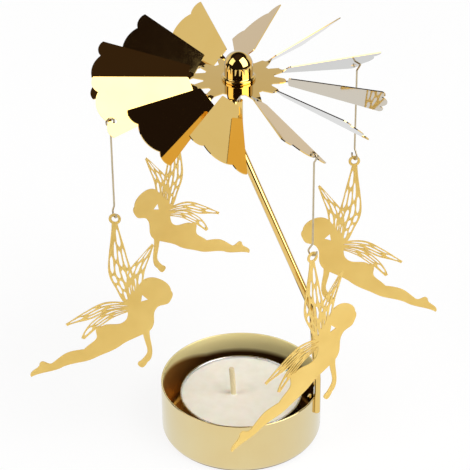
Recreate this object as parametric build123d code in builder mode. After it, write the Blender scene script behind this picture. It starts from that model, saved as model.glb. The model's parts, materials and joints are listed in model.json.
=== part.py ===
from build123d import *

import os
from math import acos, atan2, cos, degrees, hypot, radians, sin

# Angel chime carousel, in millimetres. The origin is the centre of the cup's underside, +Z is up,
# and the post stands on the +X side of the cup.

# Candle cup
cup_diameter = 51.2
cup_height = 18.5
cup_wall = 0.5
cup_corner_radius = 2.5

# Tealight
tealight_diameter = 38.6
tealight_height = 12.8
foil_wall = 0.2
foil_corner_radius = 1.6
foil_bead_radius = 0.28
wax_drop = 0.5
wax_dish = 0.35
wax_clearance = 0.02
wick_diameter = 1.8
wick_rise = 9.6
wick_straight_rise = 2.8
wick_tip_offset = 0.5
wick_bend_radius = 40.0
wick_off_centre = 2.5
wick_direction = 202.0
sustainer_radius = 6.0
sustainer_thickness = 0.3
sustainer_collar_wall = 0.4
sustainer_collar_height = 3.0
wick_clearance = 0.02

# Post, a round rod with a slit and sprung foot that straddles the cup's wall
post_diameter = 2.4
post_stand_off = 0.35
post_lower_bend_height = 51.0
post_lower_bend_inset = 1.8
post_neck_length = 15.0
post_top_gap = 7.0
post_bend_radius = 5.0
prong_reach = 6.0
prong_rounding = 0.45
slit_rise = 5.2
clip_clearance = 0.05
leaf_thickness = 0.6
leaf_width = 1.7
leaf_root_rise = 1.6
leaf_bend_radius = 2.1
leaf_curl_radius = 0.75
leaf_curl_angle = 160.0

# Pivot needle
needle_diameter = 1.0
needle_bore_depth = 5.0
needle_point_length = 1.7
needle_clearance = 0.02
point_clearance = 0.06

# Rotor, stamped from one sheet, with the turn, droop and pitch to which each vane's neck is bent
plate_height = 126.0
sheet_thickness = 0.3
first_vane_angle = 45.0
vane_bend_angles = (
    (3.0, 6.0, 38.2), (1.7, 3.1, 43.2), (0.2, 3.7, 39.3), (4.1, 2.9, 43.6),
    (-0.9, 1.4, 40.5), (-1.7, 0.7, 34.0), (1.7, 0.6, 39.2), (2.0, 1.8, 42.2),
    (0.1, 4.2, 36.4), (4.6, 6.2, 39.6), (0.1, 6.8, 41.9), (-2.2, 8.6, 45.0),
)
vane_inner_radius = 14.6
vane_chord_radius = 41.8
vane_half_width = 9.7
vane_root_rounding = 0.7
side_lobe_share = 0.25
side_lobe_rise = 1.1
middle_lobe_rise = 2.0
tooth_root_radius = 10.4
tooth_tip_radius = 13.2
tooth_gap_width = 1.1
neck_width = 2.7

# Hub dome, bearing and washer
dome_radius = 4.2
dome_straight = 4.3
dome_wall = 0.4
dome_flange_radius = 5.0
dome_flange_thickness = 0.9
dome_flange_rounding = 0.25
dome_flare_radius = 0.5
bearing_height = 3.2
bearing_wall = 0.6
shank_radius = 2.3
bearing_mouth_radius = 1.6
rivet_radius = 2.9
rivet_thickness = 0.35
washer_radius = 4.2
washer_thickness = 0.4
hub_clearance = 0.02

# Hangers, of one round wire, hooked through every third vane
wire_diameter = 0.55
hanger_hole_inset = 1.7
hanger_hole_radius = 0.8
hanger_hole_share = 0.5
hook_clearance = 0.42
hook_tail_angle = 215.0
hook_sweep_angle = 250.0
wire_bend_radius = 0.6
hanger_lengths = (33.5, 30.1, 32.1, 33.2)
loop_radius = 1.3
loop_neck_length = 2.6
loop_end_angle = 15.0
loop_turn_angle = 30.0

# Fairies, etched from flat sheet, each hung by the eyelet at its tall wing's tip
fairy_width = 44.5
fairy_drop = 58.3
fairy_thickness = 0.3
eyelet_radius = 1.8
eyelet_hole_radius = 1.0
eyelet_clearance = 0.06
fairy_heading_angles = (206.7, 236.9, 19.0, 56.3)

# Sizes that follow from those above
vane_count = len(vane_bend_angles)
vanes_per_hanger = vane_count // len(fairy_heading_angles)
cup_radius = cup_diameter / 2
tealight_radius = tealight_diameter / 2
foil_base = cup_wall
foil_top = foil_base + tealight_height
wax_base = foil_base + foil_wall
wax_edge = foil_top - wax_drop
wax_radius = tealight_radius - foil_wall - wax_clearance
wick_radius = wick_diameter / 2
wick_x = wick_off_centre * cos(radians(wick_direction))
wick_y = wick_off_centre * sin(radians(wick_direction))
wick_bore_radius = wick_radius + wick_clearance
collar_radius = wick_bore_radius + sustainer_collar_wall
post_radius = post_diameter / 2
post_foot_x = cup_radius + post_stand_off
post_foot_height = cup_height - prong_reach
slit_top = cup_height + slit_rise
slit_outer_x = cup_radius + clip_clearance
leaf_x = cup_radius - cup_wall - clip_clearance - leaf_thickness / 2
post_top_height = plate_height - post_top_gap
post_upper_bend_height = post_top_height - post_neck_length
needle_radius = needle_diameter / 2
needle_base = post_top_height - needle_bore_depth
plate_top = plate_height + sheet_thickness
sheet_middle = plate_height + sheet_thickness / 2
vane_step = 360 / vane_count
flange_top = plate_top + dome_flange_thickness
dome_middle = plate_top + dome_straight
dome_top = dome_middle + dome_radius
dome_bore_radius = dome_radius - dome_wall
bearing_radius = dome_bore_radius - hub_clearance
bearing_apex = plate_top + bearing_height - bearing_wall
needle_tip = bearing_apex - point_clearance
wire_radius = wire_diameter / 2
strip_width = hanger_hole_inset - hanger_hole_radius
hook_radius = hypot(strip_width, sheet_thickness) / 2 + wire_radius + hook_clearance
hole_x = vane_chord_radius - hanger_hole_inset
hole_y = hanger_hole_share * vane_half_width
pivot_reach = vane_chord_radius - strip_width / 2
eyelet_seat = eyelet_hole_radius - wire_radius - eyelet_clearance


def direction(angle):
    """Horizontal unit vector at an angle in degrees from +X."""
    return Vector(cos(radians(angle)), sin(radians(angle)), 0)


def upright(origin, heading):
    """Vertical plane through a point, with local x along a heading and local y upwards."""
    x_dir = direction(heading)
    return Plane(origin=origin, x_dir=x_dir, z_dir=x_dir.cross(Vector(0, 0, 1)))


def vane_angle(index):
    """Angle at which a vane's tooth leaves the hub disc."""
    return first_vane_angle + vane_step * index


def vane_plane(index):
    """Plane of a vane, bent about its tooth's tip, with local x outwards along its middle."""
    turn, droop, pitch = vane_bend_angles[index]
    outwards = direction(vane_angle(index) + turn)
    sideways = Axis((0, 0, 0), Vector(0, 0, 1).cross(outwards))
    run = outwards.rotate(sideways, droop)
    normal = Vector(0, 0, 1).rotate(sideways, droop).rotate(Axis((0, 0, 0), run), -pitch)
    tooth_tip = direction(vane_angle(index)) * tooth_tip_radius + Vector(0, 0, sheet_middle)
    return Plane(origin=tooth_tip - run * tooth_tip_radius, x_dir=run, z_dir=normal)


def finish(part, name):
    """Labels a finished piece and writes its file."""
    part.label = name
    export_step(part, f"parts/{name}.step")
    print(name, round(part.volume, 2), [round(v, 2) for v in part.center(CenterOf.MASS)])


os.makedirs("parts", exist_ok=True)

# Candle cup: a drawn shell with a rounded foot
with BuildPart() as candle_cup:
    with BuildSketch():
        Circle(cup_radius)
    extrude(amount=cup_height)
    fillet(candle_cup.edges().group_by(Axis.Z)[0], radius=cup_corner_radius)
    offset(amount=-cup_wall, openings=candle_cup.faces().sort_by(Axis.Z)[-1])
finish(candle_cup.part, "candle_cup")

# Tealight's foil cup with its beaded rim
with BuildPart() as tealight_cup:
    with BuildSketch(Plane.XY.offset(foil_base)):
        Circle(tealight_radius)
    extrude(amount=tealight_height)
    fillet(tealight_cup.edges().group_by(Axis.Z)[0], radius=foil_corner_radius)
    offset(amount=-foil_wall, openings=tealight_cup.faces().sort_by(Axis.Z)[-1])
    with BuildSketch(Plane.XZ):
        with Locations((tealight_radius, foil_top)):
            Circle(foil_bead_radius)
    revolve(axis=Axis.Z)
finish(tealight_cup.part, "tealight_cup")

# Wax: dished on top, bored for the wick and pocketed for its foot
with BuildPart() as tealight_wax:
    with BuildSketch(Plane.XZ):
        with BuildLine():
            Polyline(
                (0, wax_edge - wax_dish),
                (0, wax_base),
                (wax_radius - foil_corner_radius, wax_base),
                (wax_radius, wax_base + foil_corner_radius),
                (wax_radius, wax_edge),
            )
            TangentArc((0, wax_edge - wax_dish), (wax_radius, wax_edge), tangent=(1, 0))
        make_face()
    revolve(axis=Axis.Z)
    with BuildSketch(Plane.XY.offset(wax_base)):
        with Locations((wick_x, wick_y)):
            Circle(wick_bore_radius)
    extrude(amount=tealight_height, mode=Mode.SUBTRACT)
    with BuildSketch(Plane.XY.offset(wax_base)):
        with Locations((wick_x, wick_y)):
            Circle(sustainer_radius + wax_clearance)
    extrude(amount=sustainer_thickness + wax_clearance, mode=Mode.SUBTRACT)
    with BuildSketch(Plane.XY.offset(wax_base)):
        with Locations((wick_x, wick_y)):
            Circle(collar_radius + wax_clearance)
    extrude(amount=sustainer_collar_height + wax_clearance, mode=Mode.SUBTRACT)
finish(tealight_wax.part, "tealight_wax")

# Wick's tin foot: a disc with a collar round the wick
with BuildPart() as wick_sustainer:
    with BuildSketch(Plane.XY.offset(wax_base)):
        with Locations((wick_x, wick_y)):
            Circle(sustainer_radius)
    extrude(amount=sustainer_thickness)
    with BuildSketch(Plane.XY.offset(wax_base)):
        with Locations((wick_x, wick_y)):
            Circle(collar_radius)
    extrude(amount=sustainer_collar_height)
    with BuildSketch(Plane.XY.offset(wax_base + sustainer_thickness)):
        with Locations((wick_x, wick_y)):
            Circle(wick_bore_radius)
    extrude(amount=sustainer_collar_height, mode=Mode.SUBTRACT)
finish(wick_sustainer.part, "wick_sustainer")

# Wick: straight in the wax, then leaning a little
wick_foot = wax_base + sustainer_thickness
with BuildPart() as tealight_wick:
    with BuildLine(upright((wick_x, wick_y, 0), wick_direction)):
        FilletPolyline(
            (0, wick_foot),
            (0, wax_edge + wick_straight_rise),
            (wick_tip_offset, wax_edge + wick_rise),
            radius=wick_bend_radius,
        )
    with BuildSketch(Plane.XY.offset(wick_foot)):
        with Locations((wick_x, wick_y)):
            Circle(wick_radius)
    sweep()
finish(tealight_wick.part, "tealight_wick")

# Post: bent rod, slit for the cup's wall, with a sprung leaf inside the cup
with BuildPart() as post:
    with BuildLine(Plane.XZ):
        FilletPolyline(
            (post_foot_x, post_foot_height),
            (post_foot_x, slit_top + leaf_root_rise),
            (post_foot_x - post_lower_bend_inset, post_lower_bend_height),
            (0, post_upper_bend_height),
            (0, post_top_height),
            radius=post_bend_radius,
        )
    with BuildSketch(Plane.XY.offset(post_foot_height)):
        with Locations((post_foot_x, 0)):
            Circle(post_radius)
    sweep()
    with BuildSketch(Plane.XY.offset(post_foot_height)):
        with Locations((slit_outer_x, 0)):
            Rectangle(post_diameter, post_diameter, align=(Align.MAX, Align.CENTER))
    extrude(amount=slit_top - post_foot_height, mode=Mode.SUBTRACT)
    fillet(post.edges().group_by(Axis.Z)[0], radius=prong_rounding)
    with BuildLine(Plane.XZ):
        FilletPolyline(
            (post_foot_x - leaf_thickness / 2, slit_top + leaf_root_rise),
            (leaf_x, slit_top - leaf_root_rise),
            (leaf_x, cup_height),
            radius=leaf_bend_radius,
        )
        CenterArc((leaf_x - leaf_curl_radius, cup_height), leaf_curl_radius, 0, -leaf_curl_angle)
    leaf_root = Vector(post_foot_x - leaf_thickness / 2, 0, slit_top + leaf_root_rise)
    leaf_run = Vector(leaf_x, 0, slit_top - leaf_root_rise) - leaf_root
    with BuildSketch(Plane(origin=leaf_root, x_dir=(0, 1, 0), z_dir=leaf_run)):
        Rectangle(leaf_width, leaf_thickness)
    sweep()
    with BuildSketch(Plane.XY.offset(needle_base)):
        Circle(needle_radius + needle_clearance)
    extrude(amount=needle_bore_depth, mode=Mode.SUBTRACT)
finish(post.part, "post")

# Needle in the post's top, with a turned point
with BuildPart() as pivot_needle:
    with BuildSketch(Plane.XZ):
        Polygon(
            (0, needle_base),
            (needle_radius, needle_base),
            (needle_radius, needle_tip - needle_point_length),
            (0, needle_tip),
            align=None,
        )
    revolve(axis=Axis.Z)
finish(pivot_needle.part, "pivot_needle")

# Outline of a flat vane: radial sides and an outer edge of three lobes
lobe_edge = vane_half_width * (1 - 2 * side_lobe_share)
root_half_width = vane_half_width * vane_inner_radius / vane_chord_radius
with BuildSketch() as vane_outline:
    with BuildLine():
        Line((vane_inner_radius, -root_half_width), (vane_inner_radius, root_half_width))
        for side in (-1, 1):
            corner = (vane_chord_radius, side * vane_half_width)
            valley = (vane_chord_radius, side * lobe_edge)
            crest = (vane_chord_radius + side_lobe_rise, side * (vane_half_width + lobe_edge) / 2)
            Line((vane_inner_radius, side * root_half_width), corner)
            ThreePointArc(corner, crest, valley)
        ThreePointArc(
            (vane_chord_radius, -lobe_edge),
            (vane_chord_radius + middle_lobe_rise, 0),
            (vane_chord_radius, lobe_edge),
        )
    make_face()
    fillet(vane_outline.vertices().group_by(Axis.X)[0], radius=vane_root_rounding)

# Rotor: hub disc with a tooth for each vane, and the vanes with their twisted necks, in one sheet
tooth_root_x = tooth_root_radius * cos(radians(vane_step / 2))
tooth_root_half_width = tooth_root_radius * sin(radians(vane_step / 2)) - tooth_gap_width / 2
with BuildPart() as rotor:
    with BuildSketch(Plane.XY.offset(plate_height)):
        Circle(tooth_root_radius)
        with PolarLocations(0, vane_count, start_angle=first_vane_angle):
            Polygon(
                (tooth_root_x, -tooth_root_half_width),
                (tooth_tip_radius, -neck_width / 2),
                (tooth_tip_radius, neck_width / 2),
                (tooth_root_x, tooth_root_half_width),
                align=None,
            )
        Circle(shank_radius + hub_clearance, mode=Mode.SUBTRACT)
    extrude(amount=sheet_thickness)
    for index in range(vane_count):
        blade = vane_plane(index)
        with BuildSketch(blade.offset(-sheet_thickness / 2)):
            add(vane_outline.sketch)
            if index % vanes_per_hanger == 0:
                with Locations((hole_x, hole_y)):
                    Circle(hanger_hole_radius, mode=Mode.SUBTRACT)
        extrude(amount=sheet_thickness)
        tooth_face = upright(blade.from_local_coords((tooth_tip_radius, 0)), vane_angle(index) + 90)
        blade_root = blade.from_local_coords((vane_inner_radius, 0))
        for neck_end in (tooth_face, Plane(origin=blade_root, x_dir=blade.y_dir, z_dir=blade.x_dir)):
            with BuildSketch(neck_end):
                Rectangle(neck_width, sheet_thickness)
        loft()
finish(rotor.part, "rotor")

# Hub dome: a thin polished cap on a flared foot
rounding_height = flange_top - dome_flange_rounding
flare_edge = dome_radius + dome_flare_radius
flare_height = flange_top + dome_flare_radius
with BuildPart() as hub_dome:
    with BuildSketch(Plane.XZ):
        with BuildLine():
            Polyline(
                (dome_bore_radius, dome_middle),
                (dome_bore_radius, plate_top),
                (dome_flange_radius, plate_top),
                (dome_flange_radius, rounding_height),
            )
            CenterArc((dome_flange_radius - dome_flange_rounding, rounding_height), dome_flange_rounding, 0, 90)
            Line((dome_flange_radius - dome_flange_rounding, flange_top), (flare_edge, flange_top))
            CenterArc((flare_edge, flare_height), dome_flare_radius, 270, -90)
            Line((dome_radius, flare_height), (dome_radius, dome_middle))
            CenterArc((0, dome_middle), dome_radius, 0, 90)
            Line((0, dome_top), (0, dome_top - dome_wall))
            CenterArc((0, dome_middle), dome_bore_radius, 0, 90)
        make_face()
    revolve(axis=Axis.Z)
finish(hub_dome.part, "hub_dome")

# Bearing in the dome: a plug with a conical recess, its shank riveted under the plate
shank_end = plate_height - washer_thickness
with BuildPart() as hub_bearing:
    with BuildSketch(Plane.XZ):
        Polygon(
            (bearing_mouth_radius, shank_end - rivet_thickness),
            (rivet_radius, shank_end - rivet_thickness),
            (rivet_radius, shank_end),
            (shank_radius, shank_end),
            (shank_radius, plate_top),
            (bearing_radius, plate_top),
            (bearing_radius, bearing_apex),
            (bearing_radius - bearing_wall, plate_top + bearing_height),
            (0, plate_top + bearing_height),
            (0, bearing_apex),
            align=None,
        )
    revolve(axis=Axis.Z)
finish(hub_bearing.part, "hub_bearing")

# Washer under the plate
with BuildPart() as hub_washer:
    with BuildSketch(Plane.XY.offset(shank_end)):
        Circle(washer_radius)
        Circle(shank_radius + hub_clearance, mode=Mode.SUBTRACT)
    extrude(amount=washer_thickness)
finish(hub_washer.part, "hub_washer")

# Curves round the fairy's body and arm, end to end, as shares of its width and drop from the
# middle of the eyelet
hair_shares = (
    (0.060, -0.530), (0.092, -0.495), (0.122, -0.440), (0.150, -0.385), (0.190, -0.352),
    (0.235, -0.343), (0.297, -0.356), (0.345, -0.388), (0.359, -0.420),
)
face_shares = (
    (0.359, -0.420), (0.370, -0.444), (0.358, -0.473), (0.338, -0.497), (0.290, -0.511), (0.256, -0.533),
)
front_shares = (
    (0.256, -0.533), (0.240, -0.570), (0.238, -0.622), (0.215, -0.665), (0.157, -0.698),
    (0.090, -0.727), (0.002, -0.775),
)
knee_shares = (
    (0.002, -0.775), (-0.063, -0.810), (-0.146, -0.844), (-0.213, -0.873), (-0.303, -0.895),
    (-0.400, -0.923),
)
instep_shares = ((-0.400, -0.923), (-0.497, -0.957), (-0.573, -0.976), (-0.628, -0.998))
sole_shares = ((-0.628, -0.998), (-0.634, -0.984), (-0.609, -0.955), (-0.580, -0.936), (-0.564, -0.908))
heel_shares = ((-0.564, -0.908), (-0.540, -0.896), (-0.508, -0.906), (-0.472, -0.902))
calf_shares = (
    (-0.472, -0.902), (-0.420, -0.864), (-0.375, -0.837), (-0.321, -0.820), (-0.250, -0.808),
)
seat_shares = ((-0.250, -0.808), (-0.202, -0.770), (-0.157, -0.724), (-0.160, -0.676), (-0.121, -0.658))
back_shares = (
    (-0.121, -0.658), (-0.065, -0.643), (0.011, -0.635), (0.048, -0.610), (0.062, -0.573),
    (0.060, -0.530),
)
arm_front_shares = ((0.209, -0.660), (0.213, -0.744), (0.220, -0.815), (0.208, -0.852), (0.186, -0.872))
hand_shares = ((0.186, -0.872), (0.171, -0.894), (0.148, -0.908), (0.121, -0.894), (0.137, -0.868))
arm_back_shares = (
    (0.137, -0.868), (0.168, -0.838), (0.186, -0.808), (0.178, -0.756), (0.162, -0.700), (0.150, -0.650),
)
shoulder_shares = ((0.150, -0.650), (0.180, -0.620), (0.209, -0.660))
neck_gap_shares = ((0.164, -0.451), (0.204, -0.480), (0.155, -0.494))
tall_wing_left_shares = (
    (-0.022, -0.028), (-0.034, -0.120), (-0.047, -0.192), (-0.056, -0.254), (-0.055, -0.335),
    (-0.036, -0.380), (-0.008, -0.425), (0.015, -0.470), (0.042, -0.505),
)
tall_wing_right_shares = (
    (0.016, -0.028), (0.034, -0.094), (0.056, -0.166), (0.076, -0.240), (0.097, -0.300),
    (0.115, -0.360), (0.122, -0.420), (0.120, -0.470), (0.105, -0.520),
)
thin_wing_left_shares = (
    (0.240, -0.140), (0.205, -0.174), (0.152, -0.228), (0.100, -0.280), (0.068, -0.335),
    (0.060, -0.400), (0.068, -0.460), (0.085, -0.515),
)
thin_wing_right_shares = (
    (0.252, -0.150), (0.238, -0.182), (0.222, -0.222), (0.200, -0.270), (0.182, -0.325),
    (0.172, -0.385), (0.158, -0.450), (0.130, -0.520),
)
upper_tail_top_shares = (
    (-0.366, -0.650), (-0.330, -0.630), (-0.275, -0.596), (-0.210, -0.560), (-0.150, -0.528),
    (-0.085, -0.506), (-0.010, -0.500), (0.080, -0.505),
)
upper_tail_bottom_shares = (
    (-0.356, -0.662), (-0.310, -0.644), (-0.255, -0.630), (-0.200, -0.616), (-0.140, -0.590),
    (-0.085, -0.562), (-0.020, -0.545), (0.080, -0.535),
)
lower_tail_top_shares = (
    (-0.264, -0.735), (-0.235, -0.685), (-0.200, -0.645), (-0.160, -0.612), (-0.105, -0.574),
    (-0.040, -0.550), (0.030, -0.540), (0.085, -0.530),
)
lower_tail_bottom_shares = (
    (-0.244, -0.742), (-0.205, -0.710), (-0.160, -0.675), (-0.108, -0.642), (-0.055, -0.608),
    (0.000, -0.582), (0.045, -0.566), (0.100, -0.552),
)

# Slots between the veins of each wing: start and end in stations of its edges, which may lie
# between two of them, then near and far side as shares of the way across the wing
tall_wing_slot_shares = (
    (2.5, 4.0, 0.08, 0.24), (4.2, 5.2, 0.08, 0.24), (5.4, 6.6, 0.09, 0.25),
    (1.3, 3.0, 0.31, 0.47), (3.2, 4.7, 0.31, 0.47), (4.9, 6.0, 0.31, 0.47), (6.2, 7.4, 0.30, 0.46),
    (2.1, 3.6, 0.54, 0.70), (3.8, 5.3, 0.54, 0.70), (5.5, 6.8, 0.54, 0.70),
    (0.4, 1.9, 0.56, 0.84), (2.0, 3.8, 0.78, 0.92), (4.0, 5.2, 0.77, 0.92), (5.4, 6.6, 0.77, 0.92),
)
thin_wing_slot_shares = (
    (1.0, 2.6, 0.10, 0.30), (2.9, 4.3, 0.10, 0.30), (4.6, 6.0, 0.12, 0.30),
    (0.6, 2.2, 0.42, 0.62), (2.5, 4.0, 0.40, 0.58), (4.3, 5.7, 0.40, 0.58), (5.9, 7.0, 0.38, 0.56),
    (2.0, 3.5, 0.72, 0.88), (3.8, 5.1, 0.70, 0.88), (5.4, 6.5, 0.68, 0.88),
)
upper_tail_slot_shares = (
    (0.5, 2.4, 0.26, 0.70), (2.1, 4.0, 0.12, 0.30), (2.8, 5.0, 0.42, 0.60), (2.6, 4.6, 0.72, 0.88),
    (4.3, 6.4, 0.14, 0.34), (5.3, 7.0, 0.46, 0.64), (4.9, 6.6, 0.74, 0.90),
)
lower_tail_slot_shares = (
    (0.4, 1.9, 0.24, 0.70), (1.7, 3.6, 0.12, 0.30), (2.2, 4.4, 0.42, 0.60), (2.1, 4.0, 0.72, 0.88),
    (3.9, 5.9, 0.14, 0.34), (4.7, 6.6, 0.44, 0.62), (4.3, 6.1, 0.74, 0.90),
)
slot_steps = 4


def figure_point(shares):
    """Point of the fairy's sheet at shares of its width and drop from the middle of the eyelet."""
    return Vector(shares[0] * fairy_width, shares[1] * fairy_drop - eyelet_seat)


def edge_point(edge_shares, station):
    """Point of a wing's edge at a station, which may lie between two of its points."""
    before = min(int(station), len(edge_shares) - 2)
    start, end = figure_point(edge_shares[before]), figure_point(edge_shares[before + 1])
    return start + (end - start) * (station - before)


def across(left_shares, right_shares, station, side):
    """Point of a wing at a station and a share of the way from its left edge to its right."""
    left, right = edge_point(left_shares, station), edge_point(right_shares, station)
    return left + (right - left) * side


def pierced_wing(left_shares, right_shares, slot_shares):
    """Sheet of a wing between its two edges, with its pointed slots."""
    left = [figure_point(point) for point in left_shares]
    right = [figure_point(point) for point in right_shares]
    with BuildSketch() as sheet:
        with BuildLine() as outline:
            Spline(*left)
            Line(left[-1], right[-1])
            Spline(*right)
            Line(left[0], right[0])
        make_face(outline.edges())
        for start, end, near_side, far_side in slot_shares:
            middle = (near_side + far_side) / 2
            tip = across(left_shares, right_shares, start, middle)
            root = across(left_shares, right_shares, end, middle)
            stations = [start + (end - start) * step / slot_steps for step in range(1, slot_steps)]
            with BuildLine() as outline:
                for side in (near_side, far_side):
                    Spline(tip, *[across(left_shares, right_shares, place, side) for place in stations], root)
            make_face(outline.edges(), mode=Mode.SUBTRACT)
    return sheet.sketch


def closed_outline(curves):
    """Adds the area inside curves that run end to end to the sketch under way."""
    with BuildLine() as outline:
        for curve in curves:
            Spline(*[figure_point(point) for point in curve])
    make_face(outline.edges())


body_curves = (
    hair_shares, face_shares, front_shares, knee_shares, instep_shares,
    sole_shares, heel_shares, calf_shares, seat_shares, back_shares,
)
arm_curves = (arm_front_shares, hand_shares, arm_back_shares, shoulder_shares)
wings = (
    (tall_wing_left_shares, tall_wing_right_shares, tall_wing_slot_shares),
    (thin_wing_left_shares, thin_wing_right_shares, thin_wing_slot_shares),
    (upper_tail_top_shares, upper_tail_bottom_shares, upper_tail_slot_shares),
    (lower_tail_top_shares, lower_tail_bottom_shares, lower_tail_slot_shares),
)

# The fairy's sheet, flat, from the point where the wire carries it: wings, body, arm and eyelet
wing_sheets = [pierced_wing(*wing) for wing in wings]
with BuildSketch() as figure:
    for sheet in wing_sheets:
        add(sheet)
    closed_outline(body_curves)
    closed_outline(arm_curves)
    Polygon(*[figure_point(point) for point in neck_gap_shares], align=None, mode=Mode.SUBTRACT)
    with Locations((0, -eyelet_seat)):
        Circle(eyelet_radius)
        Circle(eyelet_hole_radius, mode=Mode.SUBTRACT)

# Each fairy hangs with its balance point straight under the wire
balance_point = figure.sketch.face().center(CenterOf.MASS)
hang_angle = degrees(atan2(-balance_point.X, -balance_point.Y))

# Hangers and fairies, one pair for each hooked vane
knee_drop = hook_radius / sin(radians(hook_sweep_angle - hook_tail_angle))
tail_angle = radians(hook_tail_angle)
exit_angle = radians(hook_tail_angle - hook_sweep_angle)
loop_spread = acos(loop_radius / loop_neck_length)
loop_touch_angle = 90 + degrees(loop_spread)
for index, heading in enumerate(fairy_heading_angles):
    vane_index = index * vanes_per_hanger
    pivot = vane_plane(vane_index).from_local_coords((pivot_reach, hole_y))
    loop_bottom = pivot.Z - hanger_lengths[index] + eyelet_seat
    loop_middle = loop_bottom + loop_radius
    loop_start = loop_middle + loop_neck_length
    drop_end = loop_start + loop_neck_length
    loop_touch = (-loop_radius * sin(loop_spread), loop_middle + loop_radius * cos(loop_spread))
    hook_tail = (hook_radius * cos(tail_angle), pivot.Z + hook_radius * sin(tail_angle), 0)
    hook_exit = (hook_radius * cos(exit_angle), pivot.Z + hook_radius * sin(exit_angle))
    axis_foot = Vector(pivot.X, pivot.Y, 0)
    hook_plane = upright(axis_foot, vane_angle(vane_index) + vane_bend_angles[vane_index][0])
    tail_run = hook_plane.x_dir * sin(tail_angle) - hook_plane.y_dir * cos(tail_angle)
    loop_plane = upright(axis_foot, heading - 90 + loop_turn_angle)
    figure_plane = upright(Vector(pivot.X, pivot.Y, loop_bottom), heading)
    with BuildPart() as hanger:
        with BuildLine(hook_plane):
            CenterArc((0, pivot.Z), hook_radius, hook_tail_angle, -hook_sweep_angle)
            FilletPolyline(
                hook_exit,
                (0, pivot.Z - knee_drop),
                (0, drop_end),
                radius=wire_bend_radius,
            )
        with BuildSketch(Plane(origin=hook_plane.from_local_coords(hook_tail), z_dir=tail_run)):
            Circle(wire_radius)
        sweep()
        with BuildLine(loop_plane):
            FilletPolyline((0, drop_end), (0, loop_start), loop_touch, radius=wire_bend_radius)
            CenterArc(
                (0, loop_middle), loop_radius, loop_touch_angle, 360 + loop_end_angle - loop_touch_angle
            )
        with BuildSketch(Plane(origin=axis_foot + Vector(0, 0, drop_end), z_dir=(0, 0, -1))):
            Circle(wire_radius)
        sweep()
    finish(hanger.part, f"hanger_{index + 1}")
    with BuildPart() as fairy:
        with BuildSketch(figure_plane.offset(-fairy_thickness / 2)):
            add(figure.sketch, rotation=hang_angle)
        extrude(amount=fairy_thickness)
    finish(fairy.part, f"fairy_{index + 1}")
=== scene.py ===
import json
from math import cos, radians, sin, tau

import bpy
import bmesh
from mathutils import Matrix, Vector, noise

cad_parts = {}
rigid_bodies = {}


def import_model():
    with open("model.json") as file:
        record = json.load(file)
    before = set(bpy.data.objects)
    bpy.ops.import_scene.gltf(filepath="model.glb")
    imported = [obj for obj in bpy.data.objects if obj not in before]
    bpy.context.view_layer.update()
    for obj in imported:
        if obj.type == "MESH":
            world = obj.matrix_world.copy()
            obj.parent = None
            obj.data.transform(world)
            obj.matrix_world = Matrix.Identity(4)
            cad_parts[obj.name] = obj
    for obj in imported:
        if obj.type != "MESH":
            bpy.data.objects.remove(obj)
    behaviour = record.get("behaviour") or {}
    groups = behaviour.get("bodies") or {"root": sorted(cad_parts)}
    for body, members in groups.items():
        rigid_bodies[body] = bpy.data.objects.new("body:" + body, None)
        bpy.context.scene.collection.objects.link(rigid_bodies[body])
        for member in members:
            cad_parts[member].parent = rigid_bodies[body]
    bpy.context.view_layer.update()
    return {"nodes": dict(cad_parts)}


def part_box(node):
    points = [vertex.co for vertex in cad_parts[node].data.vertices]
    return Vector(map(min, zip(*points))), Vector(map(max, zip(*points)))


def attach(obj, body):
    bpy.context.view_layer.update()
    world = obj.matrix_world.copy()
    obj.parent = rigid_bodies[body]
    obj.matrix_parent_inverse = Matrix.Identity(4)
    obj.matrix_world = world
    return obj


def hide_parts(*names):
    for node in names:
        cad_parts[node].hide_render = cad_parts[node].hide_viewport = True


for leftover in list(bpy.data.objects):
    bpy.data.objects.remove(leftover)
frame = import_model()
nodes = frame["nodes"]

# Angel chime carousel, in metres. The cup's underside is centred on the origin and the post is on +X.
MM = 0.001

# Cup
cup_wall = 0.5 * MM
cup_corner_radius = 2.5 * MM

# Tealight
foil_wall = 0.2 * MM
foil_corner_radius = 1.6 * MM
foil_bead_radius = 0.28 * MM
wax_drop = 0.5 * MM
wax_dish = 0.35 * MM
wax_clearance = 0.02 * MM
wax_creep = 0.6 * wax_dish
wax_meniscus = 0.25 * MM
wax_meniscus_reach = 0.9 * MM
wax_ripple = 0.06 * MM
wax_ripple_size = 5.0 * MM

# Wick
wick_radius = 0.9 * MM
wick_foot = 1.0 * MM
wick_strands = 3
wick_strand_share = 0.11
wick_strand_pitch = 1.9 * MM
wick_lean_power = 1.5
wick_tip_rounding = 0.2 * MM
wick_tip_angle = 20
wick_tip_dip = 0.05 * MM

# Hub dome
dome_flange_height = 0.9 * MM
dome_flange_width = 0.8 * MM
dome_flange_rounding = 0.25 * MM
dome_flare_radius = 0.5 * MM

# Fineness of the turned meshes: steps round the axis and along each stretch of a profile, and the
# radius under which a ring is a point on the axis
cup_turns = 256
cup_corner_steps = 14
cup_rim_steps = 12
foil_corner_steps = 8
foil_bead_steps = 12
wax_rings = 48
wick_turns = 48
wick_steps = 90
wick_tip_steps = 4
dome_turns = 128
dome_steps = 40
dome_flange_steps = 6
dome_flare_steps = 8
point_radius = 1e-7

# Camera, fitted to the cup's rim, the vanes' corners and the eyelets in the photograph
camera_place = Vector((193.2, -457.1, 382.1)) * MM
camera_target = Vector((-1.4, -0.51, 72.5)) * MM
camera_roll = radians(-0.52)
camera_sensor = 36.0
camera_lens = 146.67
camera_clip_start = 10 * MM

# Floor: its half width, its own level, how much of a white glow the camera sees in it, and the level
# that metal mirrors
floor_reach = 0.45
floor_level = 0.88
floor_camera_share = 0.86
floor_mirror_level = 0.88

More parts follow.
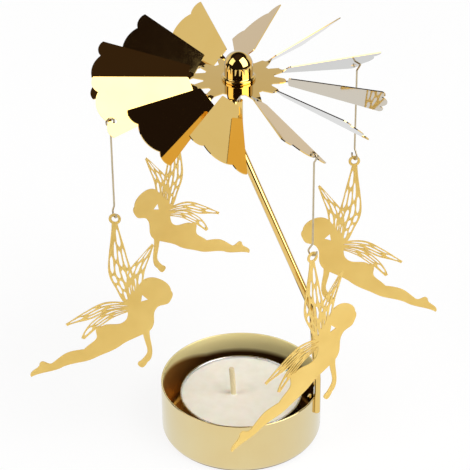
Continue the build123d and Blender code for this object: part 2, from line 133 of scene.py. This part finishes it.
# Lamps: name, place, size and power
soft_lamps = (
    ("key_lamp", Vector((0.5, -0.2, 1.1)), 0.8, 4.0),
    ("fill_lamp", Vector((-0.7, -0.9, 0.8)), 0.9, 5.5),
)

# Studio that the metal mirrors: a pale backdrop behind the object, a dark room round the camera, and
# two soft boxes in it. Angles are in degrees. Colours are linear red, green, blue and alpha, and a
# pair of heights gives the elevations between which one colour goes over into the next.
backdrop_azimuth = 113.0
backdrop_elevation = 0.0
backdrop_spread = 74.0
backdrop_side_edge = 3.0
backdrop_top = 34.0
backdrop_top_edge = 1.0
backdrop_low_colour = (0.88, 0.70, 0.48, 1)
backdrop_colour = (0.77, 0.77, 0.74, 1)
backdrop_high_colour = (0.62, 0.57, 0.45, 1)
backdrop_low_heights = (-2.0, 2.0)
backdrop_high_heights = (23.0, 29.0)
room_colour = (0.014, 0.009, 0.010, 1)
ceiling_colour = (0.038, 0.024, 0.019, 1)
ceiling_heights = (55.0, 72.0)

# Soft boxes: azimuth and elevation, half width and half height at a distance of 1, and level
soft_boxes = ((-10.0, 35.0, 0.46, 0.66, 3.4), (-138.0, 34.0, 0.36, 0.40, 1.6))
soft_box_edge = 0.04

# Colours of the finishes
gold = (0.90, 0.63, 0.21, 1)
deep_gold = (0.88, 0.60, 0.185, 1)
gold_from_the_side = (0.55, 0.55, 0.53, 1)
pale_gold = (0.86, 0.70, 0.35, 1)
deep_pale_gold = (0.84, 0.65, 0.30, 1)
pale_gold_from_the_side = (0.78, 0.70, 0.48, 1)
# Lining colours: its own colour above, and a painted reflection below it, dark brown where the mirror shows
# the dark gap round the tealight and lit orange on one side
upper_lining_colour = (0.88, 0.77, 0.38, 1)
painted_dark_reflection = (0.16, 0.075, 0.018, 1)
painted_orange_reflection = (0.86, 0.46, 0.11, 1)
turned_brass = (0.78, 0.55, 0.22, 1)
plain_brass = (0.80, 0.58, 0.24, 1)
drawn_brass = (0.66, 0.56, 0.38, 1)
needle_steel = (0.62, 0.62, 0.63, 1)
tinplate = (0.66, 0.67, 0.68, 1)
dark_marks = (0.25, 0.20, 0.12, 1)

# Painted reflection on the cup's lining: dark brown low down, where the mirror shows the dark gap round the
# tealight, and lit orange on one side.
# Given here: the heights of its soft upper edge, how far that climbs on the orange side, and that side's
# direction and reach as shares of the radius
painted_band_heights = (10.8 * MM, 12.8 * MM)
painted_band_climb = 4 * MM
painted_orange_side = (-0.92, -0.39, 0)
painted_orange_reach = (0.45, 0.95)
lining_edge = 0.02 * MM


def srgb(red, green, blue):
    """Linear colour of an sRGB colour given from 0 to 255."""
    levels = [value / 255 for value in (red, green, blue)]
    linear = [v / 12.92 if v <= 0.04045 else ((v + 0.055) / 1.055) ** 2.4 for v in levels]
    return (*linear, 1.0)


def grey(level):
    """Linear colour with the same level in red, green and blue."""
    return (level, level, level, 1)


# Node trees

class Nodes:
    """Adds nodes to a node tree."""

    def __init__(self, owner):
        owner.use_nodes = True
        self.tree = owner.node_tree

    def feed(self, socket, value):
        """Links an output to an input, or sets the input's value."""
        if isinstance(value, bpy.types.NodeSocket):
            self.tree.links.new(value, socket)
        else:
            socket.default_value = value

    def add(self, kind, operation=None, **inputs):
        """Adds a node and feeds its inputs, named with _ for a space or by number as n0."""
        made = self.tree.nodes.new(kind)
        if operation:
            made.operation = operation
        for socket, value in inputs.items():
            key = int(socket[1:]) if socket[1:].isdigit() else socket.replace("_", " ")
            self.feed(made.inputs[key], value)
        return made

    def math(self, operation, *values):
        """Result of a sum on one to three numbers, or links."""
        return self.add("ShaderNodeMath", operation, **{f"n{n}": v for n, v in enumerate(values)}).outputs[0]

    def along(self, vector, direction):
        """How far a vector runs along a direction."""
        return self.add("ShaderNodeVectorMath", "DOT_PRODUCT", n0=vector, n1=direction).outputs["Value"]

    def spread(self, source, low, high, start=0.3, end=0.7):
        """Maps a factor, as it goes from start to end, onto a range of values."""
        made = self.add("ShaderNodeMapRange", Value=source, n1=start, n2=end, n3=low, n4=high)
        return made.outputs["Result"]

    def mix(self, factor, first, second):
        """Mixes two colours, or links, by a factor."""
        made = self.tree.nodes.new("ShaderNodeMix")
        made.data_type = "RGBA"
        for key, value in ((0, factor), (6, first), (7, second)):
            self.feed(made.inputs[key], value)
        return made.outputs[2]


class Finish(Nodes):
    """Builds one material around a Principled shader."""

    def __init__(self, name, **inputs):
        self.material = bpy.data.materials.new(name)
        super().__init__(self.material)
        self.principled = self.tree.nodes["Principled BSDF"]
        self.connect(**inputs)
        self.place = self.add("ShaderNodeTexCoord").outputs["Object"]

    def connect(self, **inputs):
        """Feeds the Principled shader's inputs and returns the material."""
        for socket, value in inputs.items():
            self.feed(self.principled.inputs[socket.replace("_", " ")], value)
        return self.material

    def noise(self, size, detail=2.0, stretch=(1, 1, 1)):
        """Noise from 0 to 1 whose features are about that size, in metres."""
        mapping = self.add("ShaderNodeMapping", Vector=self.place, Scale=stretch)
        made = self.add("ShaderNodeTexNoise", Vector=mapping.outputs["Vector"], Scale=1 / size, Detail=detail)
        return made.outputs["Fac"]

    def tint(self, pattern, first, second):
        """Colour that goes from one to another with a pattern."""
        return self.mix(self.spread(pattern, 0.0, 1.0), first, second)

    def glance(self, start, end):
        """Rises from 0 to 1 as the surface is seen more and more from the side."""
        facing = self.add("ShaderNodeLayerWeight", Blend=0.5).outputs["Facing"]
        return self.spread(facing, 0.0, 1.0, start, end)

    def bump(self, height, strength, distance, normal=None):
        """Adds a bump from a height and returns its normal."""
        made = self.add("ShaderNodeBump", Height=height, Strength=strength, Distance=distance)
        if normal:
            self.feed(made.inputs["Normal"], normal)
        return made.outputs["Normal"]


# Materials

class Plating(Finish):
    """Polished gold-coloured plating: faint tint clouds, fine wipe marks, a slightly wavy mirror, and
    another colour where it is seen from the side, between the two glances."""

    def __init__(self, name, colours, side_colour, glances, roughness, waviness):
        super().__init__(name, Metallic=1.0)
        self.clouds = self.noise(14 * MM, detail=3.0)
        wipes = self.noise(1.6 * MM, detail=4.0, stretch=(1, 1, 0.12))
        front = self.tint(self.clouds, *colours)
        self.colour = self.mix(self.glance(*glances), front, side_colour)
        self.rough = self.spread(wipes, roughness * 0.75, roughness * 1.35)
        wavy = self.bump(self.noise(9 * MM, detail=1.0), waviness, distance=0.05 * MM)
        grain = self.bump(wipes, strength=0.05, distance=0.01 * MM, normal=wavy)
        self.connect(Base_Color=self.colour, Roughness=self.rough, Normal=grain)

    def lined(self, radius):
        """Gives what lies inside a radius a duller finish, with a painted reflection: dark brown low down and
        lit orange on one side.
        """
        parts = self.add("ShaderNodeSeparateXYZ", n0=self.place).outputs
        flat = self.add("ShaderNodeCombineXYZ", n0=parts[0], n1=parts[1]).outputs[0]
        reach = self.add("ShaderNodeVectorMath", "LENGTH", n0=flat).outputs["Value"]
        inner = self.spread(reach, 1.0, 0.0, radius - lining_edge, radius + lining_edge)
        # Painted reflection: below a soft edge the lining turns dark brown, standing for the dark gap
        # mirrored in it, and goes lit orange on one side
        painted_orange_share = self.spread(
            self.along(self.place, painted_orange_side), 0.0, 1.0, *[radius * share for share in painted_orange_reach]
        )
        climb = self.math("MULTIPLY_ADD", painted_orange_share, -painted_band_climb, parts[2])
        above_painted_band = self.spread(climb, 0.0, 1.0, *painted_band_heights)
        painted_reflection = self.mix(painted_orange_share, painted_dark_reflection, painted_orange_reflection)
        lining = self.mix(above_painted_band, painted_reflection, upper_lining_colour)
        metal = self.mix(above_painted_band, grey(0.9), grey(0.35))
        return self.connect(
            Base_Color=self.mix(inner, self.colour, lining),
            Roughness=self.mix(inner, self.rough, self.spread(self.clouds, 0.27, 0.35)),
            Metallic=self.mix(inner, grey(1.0), metal),
        )


def satin_gold(name):
    """Matte gilt on etched sheet: a fine grain, soft tint clouds and a broad sheen."""
    finish = Finish(name, Metallic=0.25)
    clouds = finish.noise(11 * MM)
    grain = finish.noise(0.18 * MM, detail=3.0)
    return finish.connect(
        Base_Color=finish.tint(clouds, srgb(231, 198, 112), srgb(222, 186, 98)),
        Roughness=finish.spread(grain, 0.42, 0.56),
        Normal=finish.bump(grain, strength=0.18, distance=0.01 * MM),
    )


def drawn_metal(name, colour, roughness, mark_size):
    """Drawn or turned metal with fine marks along Z."""
    finish = Finish(name, Metallic=1.0)
    marks = finish.noise(mark_size, detail=3.0, stretch=(1, 1, 0.15))
    return finish.connect(
        Base_Color=finish.mix(finish.spread(marks, 0.0, 0.35), colour, dark_marks),
        Roughness=finish.spread(marks, roughness * 0.7, roughness * 1.4),
        Normal=finish.bump(marks, strength=0.15, distance=0.01 * MM),
    )


def foil(name):
    """Thin drawn aluminium with shallow crinkles."""
    finish = Finish(name, Metallic=1.0)
    crinkle = finish.noise(2.2 * MM, stretch=(1, 1, 0.3))
    return finish.connect(
        Base_Color=finish.mix(crinkle, srgb(232, 232, 234), srgb(206, 207, 212)),
        Roughness=finish.spread(crinkle, 0.16, 0.30),
        Normal=finish.bump(crinkle, strength=0.35, distance=0.06 * MM),
    )


def paraffin(name):
    """Off-white wax: translucent, mottled, with a soft skin."""
    finish = Finish(name, IOR=1.44, Subsurface_Weight=0.25, Subsurface_Scale=1.2 * MM)
    mottle = finish.noise(3.0 * MM, detail=4.0)
    skin = finish.noise(0.5 * MM, detail=3.0)
    fine = finish.bump(skin, strength=0.12, distance=0.02 * MM)
    return finish.connect(
        Base_Color=finish.tint(mottle, srgb(241, 238, 228), srgb(236, 232, 220)),
        Roughness=finish.spread(skin, 0.36, 0.52),
        Normal=finish.bump(mottle, strength=0.25, distance=0.08 * MM, normal=fine),
    )


def cotton(name):
    """Waxed cotton braid, with pale fibres."""
    finish = Finish(name, Roughness=0.75, Sheen_Weight=0.2)
    fibres = finish.noise(0.09 * MM, detail=3.0, stretch=(1, 1, 0.2))
    return finish.connect(
        Base_Color=finish.tint(fibres, srgb(232, 220, 184), srgb(208, 190, 146)),
        Normal=finish.bump(fibres, strength=0.4, distance=0.03 * MM),
    )


cup_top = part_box("candle_cup")[1]
polished = Plating(
    "polished_brass", (gold, deep_gold), gold_from_the_side,
    glances=(0.50, 0.78), roughness=0.035, waviness=0.10,
).material
cup_plating = Plating(
    "cup_plating", (pale_gold, deep_pale_gold), pale_gold_from_the_side,
    glances=(0.15, 0.80), roughness=0.12, waviness=0.25,
).lined(cup_top.x - cup_wall / 2)
wire = drawn_metal("brass_wire", drawn_brass, 0.16, 0.25 * MM)
gilt = satin_gold("satin_gold")
materials = {
    "rotor": polished,
    "post": polished,
    "hub_bearing": drawn_metal("turned_brass", turned_brass, 0.25, 0.4 * MM),
    "hub_washer": drawn_metal("plain_brass", plain_brass, 0.22, 0.4 * MM),
    "pivot_needle": drawn_metal("needle_steel", needle_steel, 0.20, 0.3 * MM),
    "wick_sustainer": drawn_metal("tinplate", tinplate, 0.25, 0.5 * MM),
}
for number in range(1, 5):
    materials[f"hanger_{number}"] = wire
    materials[f"fairy_{number}"] = gilt
for name, material in materials.items():
    nodes[name].data.materials.clear()
    nodes[name].data.materials.append(material)


# Pieces

def new_piece(name, mesh, body, slot, material, *stands_for):
    """Makes an object of a mesh, rides it on a body and lets it stand for CAD nodes."""
    piece = bpy.data.objects.new(name, mesh)
    bpy.context.scene.collection.objects.link(piece)
    mesh.materials.append(material)
    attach(piece, body)
    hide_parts(*stands_for)
    return piece


def arc(centre, radius, start, end, steps):
    """Points (r, z) along an arc, angles in degrees."""
    angles = [radians(start + (end - start) * step / steps) for step in range(steps + 1)]
    return [(centre[0] + radius * cos(a), centre[1] + radius * sin(a)) for a in angles]


def ring_places(radius, height, turns, centre):
    """Points round a ring, or the one point where the ring has shrunk onto the axis."""
    if radius < point_radius:
        return [Vector((centre[0], centre[1], height))]
    angles = [tau * turn / turns for turn in range(turns)]
    return [Vector((centre[0] + radius * cos(a), centre[1] + radius * sin(a), height)) for a in angles]


def lathe(name, profile, turns, warp=None, centre=(0, 0)):
    """Turns a profile of (r, z) points, which starts and ends on the axis or closes on itself."""
    work = bmesh.new()
    rings = []
    for radius, height in profile:
        places = ring_places(radius, height, turns, centre)
        if warp:
            places = [warp(place) for place in places]
        rings.append([work.verts.new(place) for place in places])
    closes = profile[0][0] >= point_radius
    for lower, upper in zip(rings, rings[1:] + (rings[:1] if closes else [])):
        for turn in range(turns):
            after = (turn + 1) % turns
            corners = [lower[turn % len(lower)], lower[after % len(lower)]]
            corners += [upper[after % len(upper)], upper[turn % len(upper)]]
            unique = list(dict.fromkeys(corners))
            if len(unique) > 2:
                work.faces.new(unique)
    bmesh.ops.recalc_face_normals(work, faces=work.faces)
    mesh = bpy.data.meshes.new(name)
    work.to_mesh(mesh)
    work.free()
    mesh.shade_smooth()
    return mesh


# Cup: a drawn shell with a rounded foot and a rounded rim
rim_radius = cup_wall / 2
cup_corner = (cup_top.x - cup_corner_radius, cup_corner_radius)
cup_rim = (cup_top.x - rim_radius, cup_top.z - rim_radius)
cup_profile = (
    [(0, 0)]
    + arc(cup_corner, cup_corner_radius, -90, 0, cup_corner_steps)
    + arc(cup_rim, rim_radius, 0, 180, cup_rim_steps)
    + arc(cup_corner, cup_corner_radius - cup_wall, 0, -90, cup_corner_steps)
    + [(0, cup_wall)]
)
new_piece(
    "cup_shell", lathe("cup_shell", cup_profile, cup_turns),
    "base", "polished_brass", cup_plating, "candle_cup",
)

# Foil cup with its rolled bead
foil_low, foil_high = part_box("tealight_cup")
foil_radius = foil_high.x - foil_bead_radius
foil_base = foil_low.z
foil_top = foil_high.z - foil_bead_radius
foil_corner = (foil_radius - foil_corner_radius, foil_base + foil_corner_radius)
foil_profile = (
    [(0, foil_base)]
    + arc(foil_corner, foil_corner_radius, -90, 0, foil_corner_steps)
    + arc((foil_radius, foil_top), foil_bead_radius, -90, 180, foil_bead_steps)
    + [(foil_radius - foil_bead_radius, foil_top - foil_bead_radius)]
    + [(foil_radius - foil_wall, foil_top - wax_drop)]
    + arc(foil_corner, foil_corner_radius - foil_wall, 0, -90, foil_corner_steps)
    + [(0, foil_base + foil_wall)]
)
new_piece(
    "foil_cup", lathe("foil_cup", foil_profile, cup_turns),
    "tealight", "foil", foil("foil"), "tealight_cup",
)

# Wax: dished, with an edge that creeps up the foil and a collar that creeps up the wick
wax_low, wax_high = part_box("tealight_wax")
wax_edge = wax_high.z
wax_radius = foil_radius - foil_wall - wax_clearance
wick_low, wick_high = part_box("tealight_wick")
collar_low, collar_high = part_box("wick_sustainer")
wick_place = (collar_low + collar_high) / 2


def wax_surface(place):
    """Raises the wax's top near the wick and lets it ripple a little, less near the foil."""
    if place.z < wax_edge - wax_drop - wax_dish:
        return place
    reach = Vector((place.x - wick_place.x, place.y - wick_place.y)).length - wick_radius
    near_wick = wax_meniscus * max(0.0, 1 - reach / wax_meniscus_reach) ** 2
    ripple = wax_ripple * noise.noise(Vector((place.x, place.y, 0)) / wax_ripple_size)
    ease = min(1.0, (wax_radius - Vector((place.x, place.y)).length) / wax_meniscus_reach)
    return Vector((place.x, place.y, place.z + near_wick + ripple * ease))


wax_profile = [
    (0, wax_low.z),
    (wax_radius - foil_corner_radius, wax_low.z),
    (wax_radius, wax_low.z + foil_corner_radius),
]
for ring in range(wax_rings + 1):
    share = 1 - ring / wax_rings
    radius = wax_radius * share
    near_foil = wax_creep * max(0.0, 1 - (wax_radius - radius) / wax_meniscus_reach) ** 2
    wax_profile.append((radius, wax_edge - wax_dish * (1 - share ** 2) - wax_creep + near_foil))
new_piece(
    "wax_fill", lathe("wax_fill", wax_profile, cup_turns, wax_surface),
    "tealight", "wax", paraffin("paraffin"), "tealight_wax",
)

# Wick: a leaning three-strand braid with a blunt tip. It leans from the middle of its foot to twice
# as far as the middle of its box.
wick_tip = Vector(((wick_low.x + wick_high.x) / 2, (wick_low.y + wick_high.y) / 2, wick_high.z))
wick_lean = (wick_tip - wick_place) * 2


def wick_warp(place):
    """Leans the wick above the wax and presses its braid into it."""
    height = place.z
    rise = max(0.0, (height - wax_edge) / (wick_high.z - wax_edge))
    flat = Vector((place.x - wick_place.x, place.y - wick_place.y))
    angle = flat.angle_signed(Vector((1, 0)), 0) if flat.length > point_radius else 0
    climb = tau * height / wick_strand_pitch
    braid = sin(wick_strands * angle + climb) * sin(wick_strands * angle - climb)
    flat *= 1 + wick_strand_share * braid
    lean = rise ** wick_lean_power
    return Vector((
        wick_place.x + flat.x + wick_lean.x * lean,
        wick_place.y + flat.y + wick_lean.y * lean,
        height,
    ))


wick_top = wick_high.z - wick_tip_rounding
wick_levels = [wick_foot + (wick_top - wick_foot) * step / wick_steps for step in range(wick_steps + 1)]
braid_radius = wick_radius / (1 + wick_strand_share)
wick_profile = (
    [(0, wick_foot)]
    + [(braid_radius, level) for level in wick_levels]
    + arc((braid_radius - wick_tip_rounding, wick_top), wick_tip_rounding, wick_tip_angle, 90, wick_tip_steps)
    + [(0, wick_high.z - wick_tip_dip)]
)
new_piece(
    "wick_braid", lathe("wick_braid", wick_profile, wick_turns, wick_warp, (wick_place.x, wick_place.y)),
    "tealight", "wick_cotton", cotton("waxed_cotton"), "tealight_wick",
)

# Hub dome: a polished cap with a rolled flange
dome_low, dome_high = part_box("hub_dome")
dome_radius = dome_high.x - dome_flange_width
dome_middle = dome_high.z - dome_radius
flange_edge = dome_high.x - dome_flange_rounding
flange_top = dome_low.z + dome_flange_height
flare_middle = (dome_radius + dome_flare_radius, flange_top + dome_flare_radius)
dome_profile = (
    arc((flange_edge, dome_low.z + dome_flange_rounding), dome_flange_rounding, -90, 0, dome_flange_steps)
    + arc((flange_edge, flange_top - dome_flange_rounding), dome_flange_rounding, 0, 90, dome_flange_steps)
    + arc(flare_middle, dome_flare_radius, 270, 180, dome_flare_steps)
    + arc((0, dome_middle), dome_radius, 0, 90, dome_steps)[:-1]
    + [(0, dome_high.z)]
)
new_piece(
    "dome_cap", lathe("dome_cap", dome_profile, dome_turns),
    "rotor", "polished_brass", polished, "hub_dome",
)


# Floor, studio, lamps and camera

def white_floor():
    """A pale floor that the camera sees as white with a light shadow, and the metal as an even white."""
    material = bpy.data.materials.new("white_floor")
    shader = Nodes(material)
    shader.tree.nodes.clear()
    rays = shader.add("ShaderNodeLightPath").outputs
    seen = shader.add("ShaderNodeBsdfDiffuse", Color=grey(floor_level)).outputs[0]
    glows = (("Is Glossy Ray", floor_mirror_level, 1.0), ("Is Camera Ray", 1.0, floor_camera_share))
    for ray, level, share in glows:
        glow = shader.add("ShaderNodeEmission", Color=grey(level)).outputs[0]
        part = shader.math("MULTIPLY", rays[ray], share)
        seen = shader.add("ShaderNodeMixShader", n0=part, n1=seen, n2=glow).outputs[0]
    shader.add("ShaderNodeOutputMaterial", Surface=seen)
    return material


floor_corners = [(x * floor_reach, y * floor_reach, 0) for x, y in ((-1, -1), (1, -1), (1, 1), (-1, 1))]
floor_mesh = bpy.data.meshes.new("floor")
floor_mesh.from_pydata(floor_corners, [], [(0, 1, 2, 3)])
floor_mesh.materials.append(white_floor())
floor = bpy.data.objects.new("floor", floor_mesh)
bpy.context.scene.collection.objects.link(floor)


def heading(azimuth, elevation):
    """Unit vector towards an azimuth from +X and an elevation, in degrees."""
    flat = cos(radians(elevation))
    return Vector((flat * cos(radians(azimuth)), flat * sin(radians(azimuth)), sin(radians(elevation))))


class Studio(Nodes):
    """World that the camera sees as white, and everything else as the studio."""

    def __init__(self, name):
        self.world = bpy.data.worlds.new(name)
        super().__init__(self.world)
        self.tree.nodes.clear()
        self.ray = self.add("ShaderNodeTexCoord").outputs["Generated"]
        self.height = self.along(self.ray, (0, 0, 1))
        light = self.room()
        for soft_box in soft_boxes:
            light = self.add("ShaderNodeVectorMath", "ADD", n0=light, n1=self.glow(*soft_box)).outputs[0]
        studio = self.add("ShaderNodeBackground", Color=light, Strength=1.0).outputs[0]
        white = self.add("ShaderNodeBackground", Color=grey(1), Strength=1.0).outputs[0]
        camera_ray = self.add("ShaderNodeLightPath").outputs["Is Camera Ray"]
        blend = self.add("ShaderNodeMixShader", n0=camera_ray, n1=studio, n2=white).outputs[0]
        self.add("ShaderNodeOutputWorld", Surface=blend)

    def rise(self, low, high):
        """Rises from 0 to 1 between two elevations."""
        return self.spread(self.height, 0.0, 1.0, sin(radians(low)), sin(radians(high)))

    def room(self):
        """Light of the backdrop, and of the dark room with its ceiling."""
        facing = self.along(self.ray, heading(backdrop_azimuth, backdrop_elevation))
        wide, narrow = backdrop_spread + backdrop_side_edge, backdrop_spread - backdrop_side_edge
        behind = self.spread(facing, 0.0, 1.0, cos(radians(wide)), cos(radians(narrow)))
        low, high = backdrop_top - backdrop_top_edge, backdrop_top + backdrop_top_edge
        below = self.spread(self.height, 1.0, 0.0, sin(radians(low)), sin(radians(high)))
        upper_wall = self.mix(self.rise(*backdrop_high_heights), backdrop_colour, backdrop_high_colour)
        wall = self.mix(self.rise(*backdrop_low_heights), backdrop_low_colour, upper_wall)
        dark = self.mix(self.rise(*ceiling_heights), room_colour, ceiling_colour)
        return self.mix(self.math("MULTIPLY", behind, below), dark, wall)

    def glow(self, azimuth, elevation, half_width, half_height, level):
        """Light of a rectangular soft box."""
        centre = heading(azimuth, elevation)
        across = heading(azimuth + 90, 0)
        depth = self.along(self.ray, centre)
        offsets = []
        for axis, half in ((across, half_width), (centre.cross(across), half_height)):
            offset = self.math("DIVIDE", self.along(self.ray, axis), depth)
            offsets.append(self.math("DIVIDE", self.math("ABSOLUTE", offset), half))
        furthest = self.math("MAXIMUM", *offsets)
        inside = self.spread(furthest, level, 0.0, 1 - soft_box_edge, 1 + soft_box_edge)
        return self.math("MULTIPLY", inside, self.math("GREATER_THAN", depth, 0.0))


scene = bpy.context.scene
scene.world = Studio("studio").world
scene.view_settings.view_transform = "Standard"

# Soft lamps that face the object and don't show in the metal
for name, place, size, power in soft_lamps:
    lamp = bpy.data.lights.new(name, "AREA")
    lamp.shape = "DISK"
    lamp.size = size
    lamp.energy = power
    holder = bpy.data.objects.new(name, lamp)
    scene.collection.objects.link(holder)
    holder.location = place
    holder.rotation_euler = (camera_target - place).to_track_quat("-Z", "Y").to_euler()
    holder.visible_glossy = False

camera_data = bpy.data.cameras.new("camera")
camera_data.sensor_width = camera_sensor
camera_data.lens = camera_lens
camera_data.clip_start = camera_clip_start
camera = bpy.data.objects.new("camera", camera_data)
scene.collection.objects.link(camera)
scene.camera = camera
sight = (camera_target - camera_place).to_track_quat("-Z", "Y").to_matrix().to_4x4()
camera.matrix_world = Matrix.Translation(camera_place) @ sight @ Matrix.Rotation(camera_roll, 4, "Z")
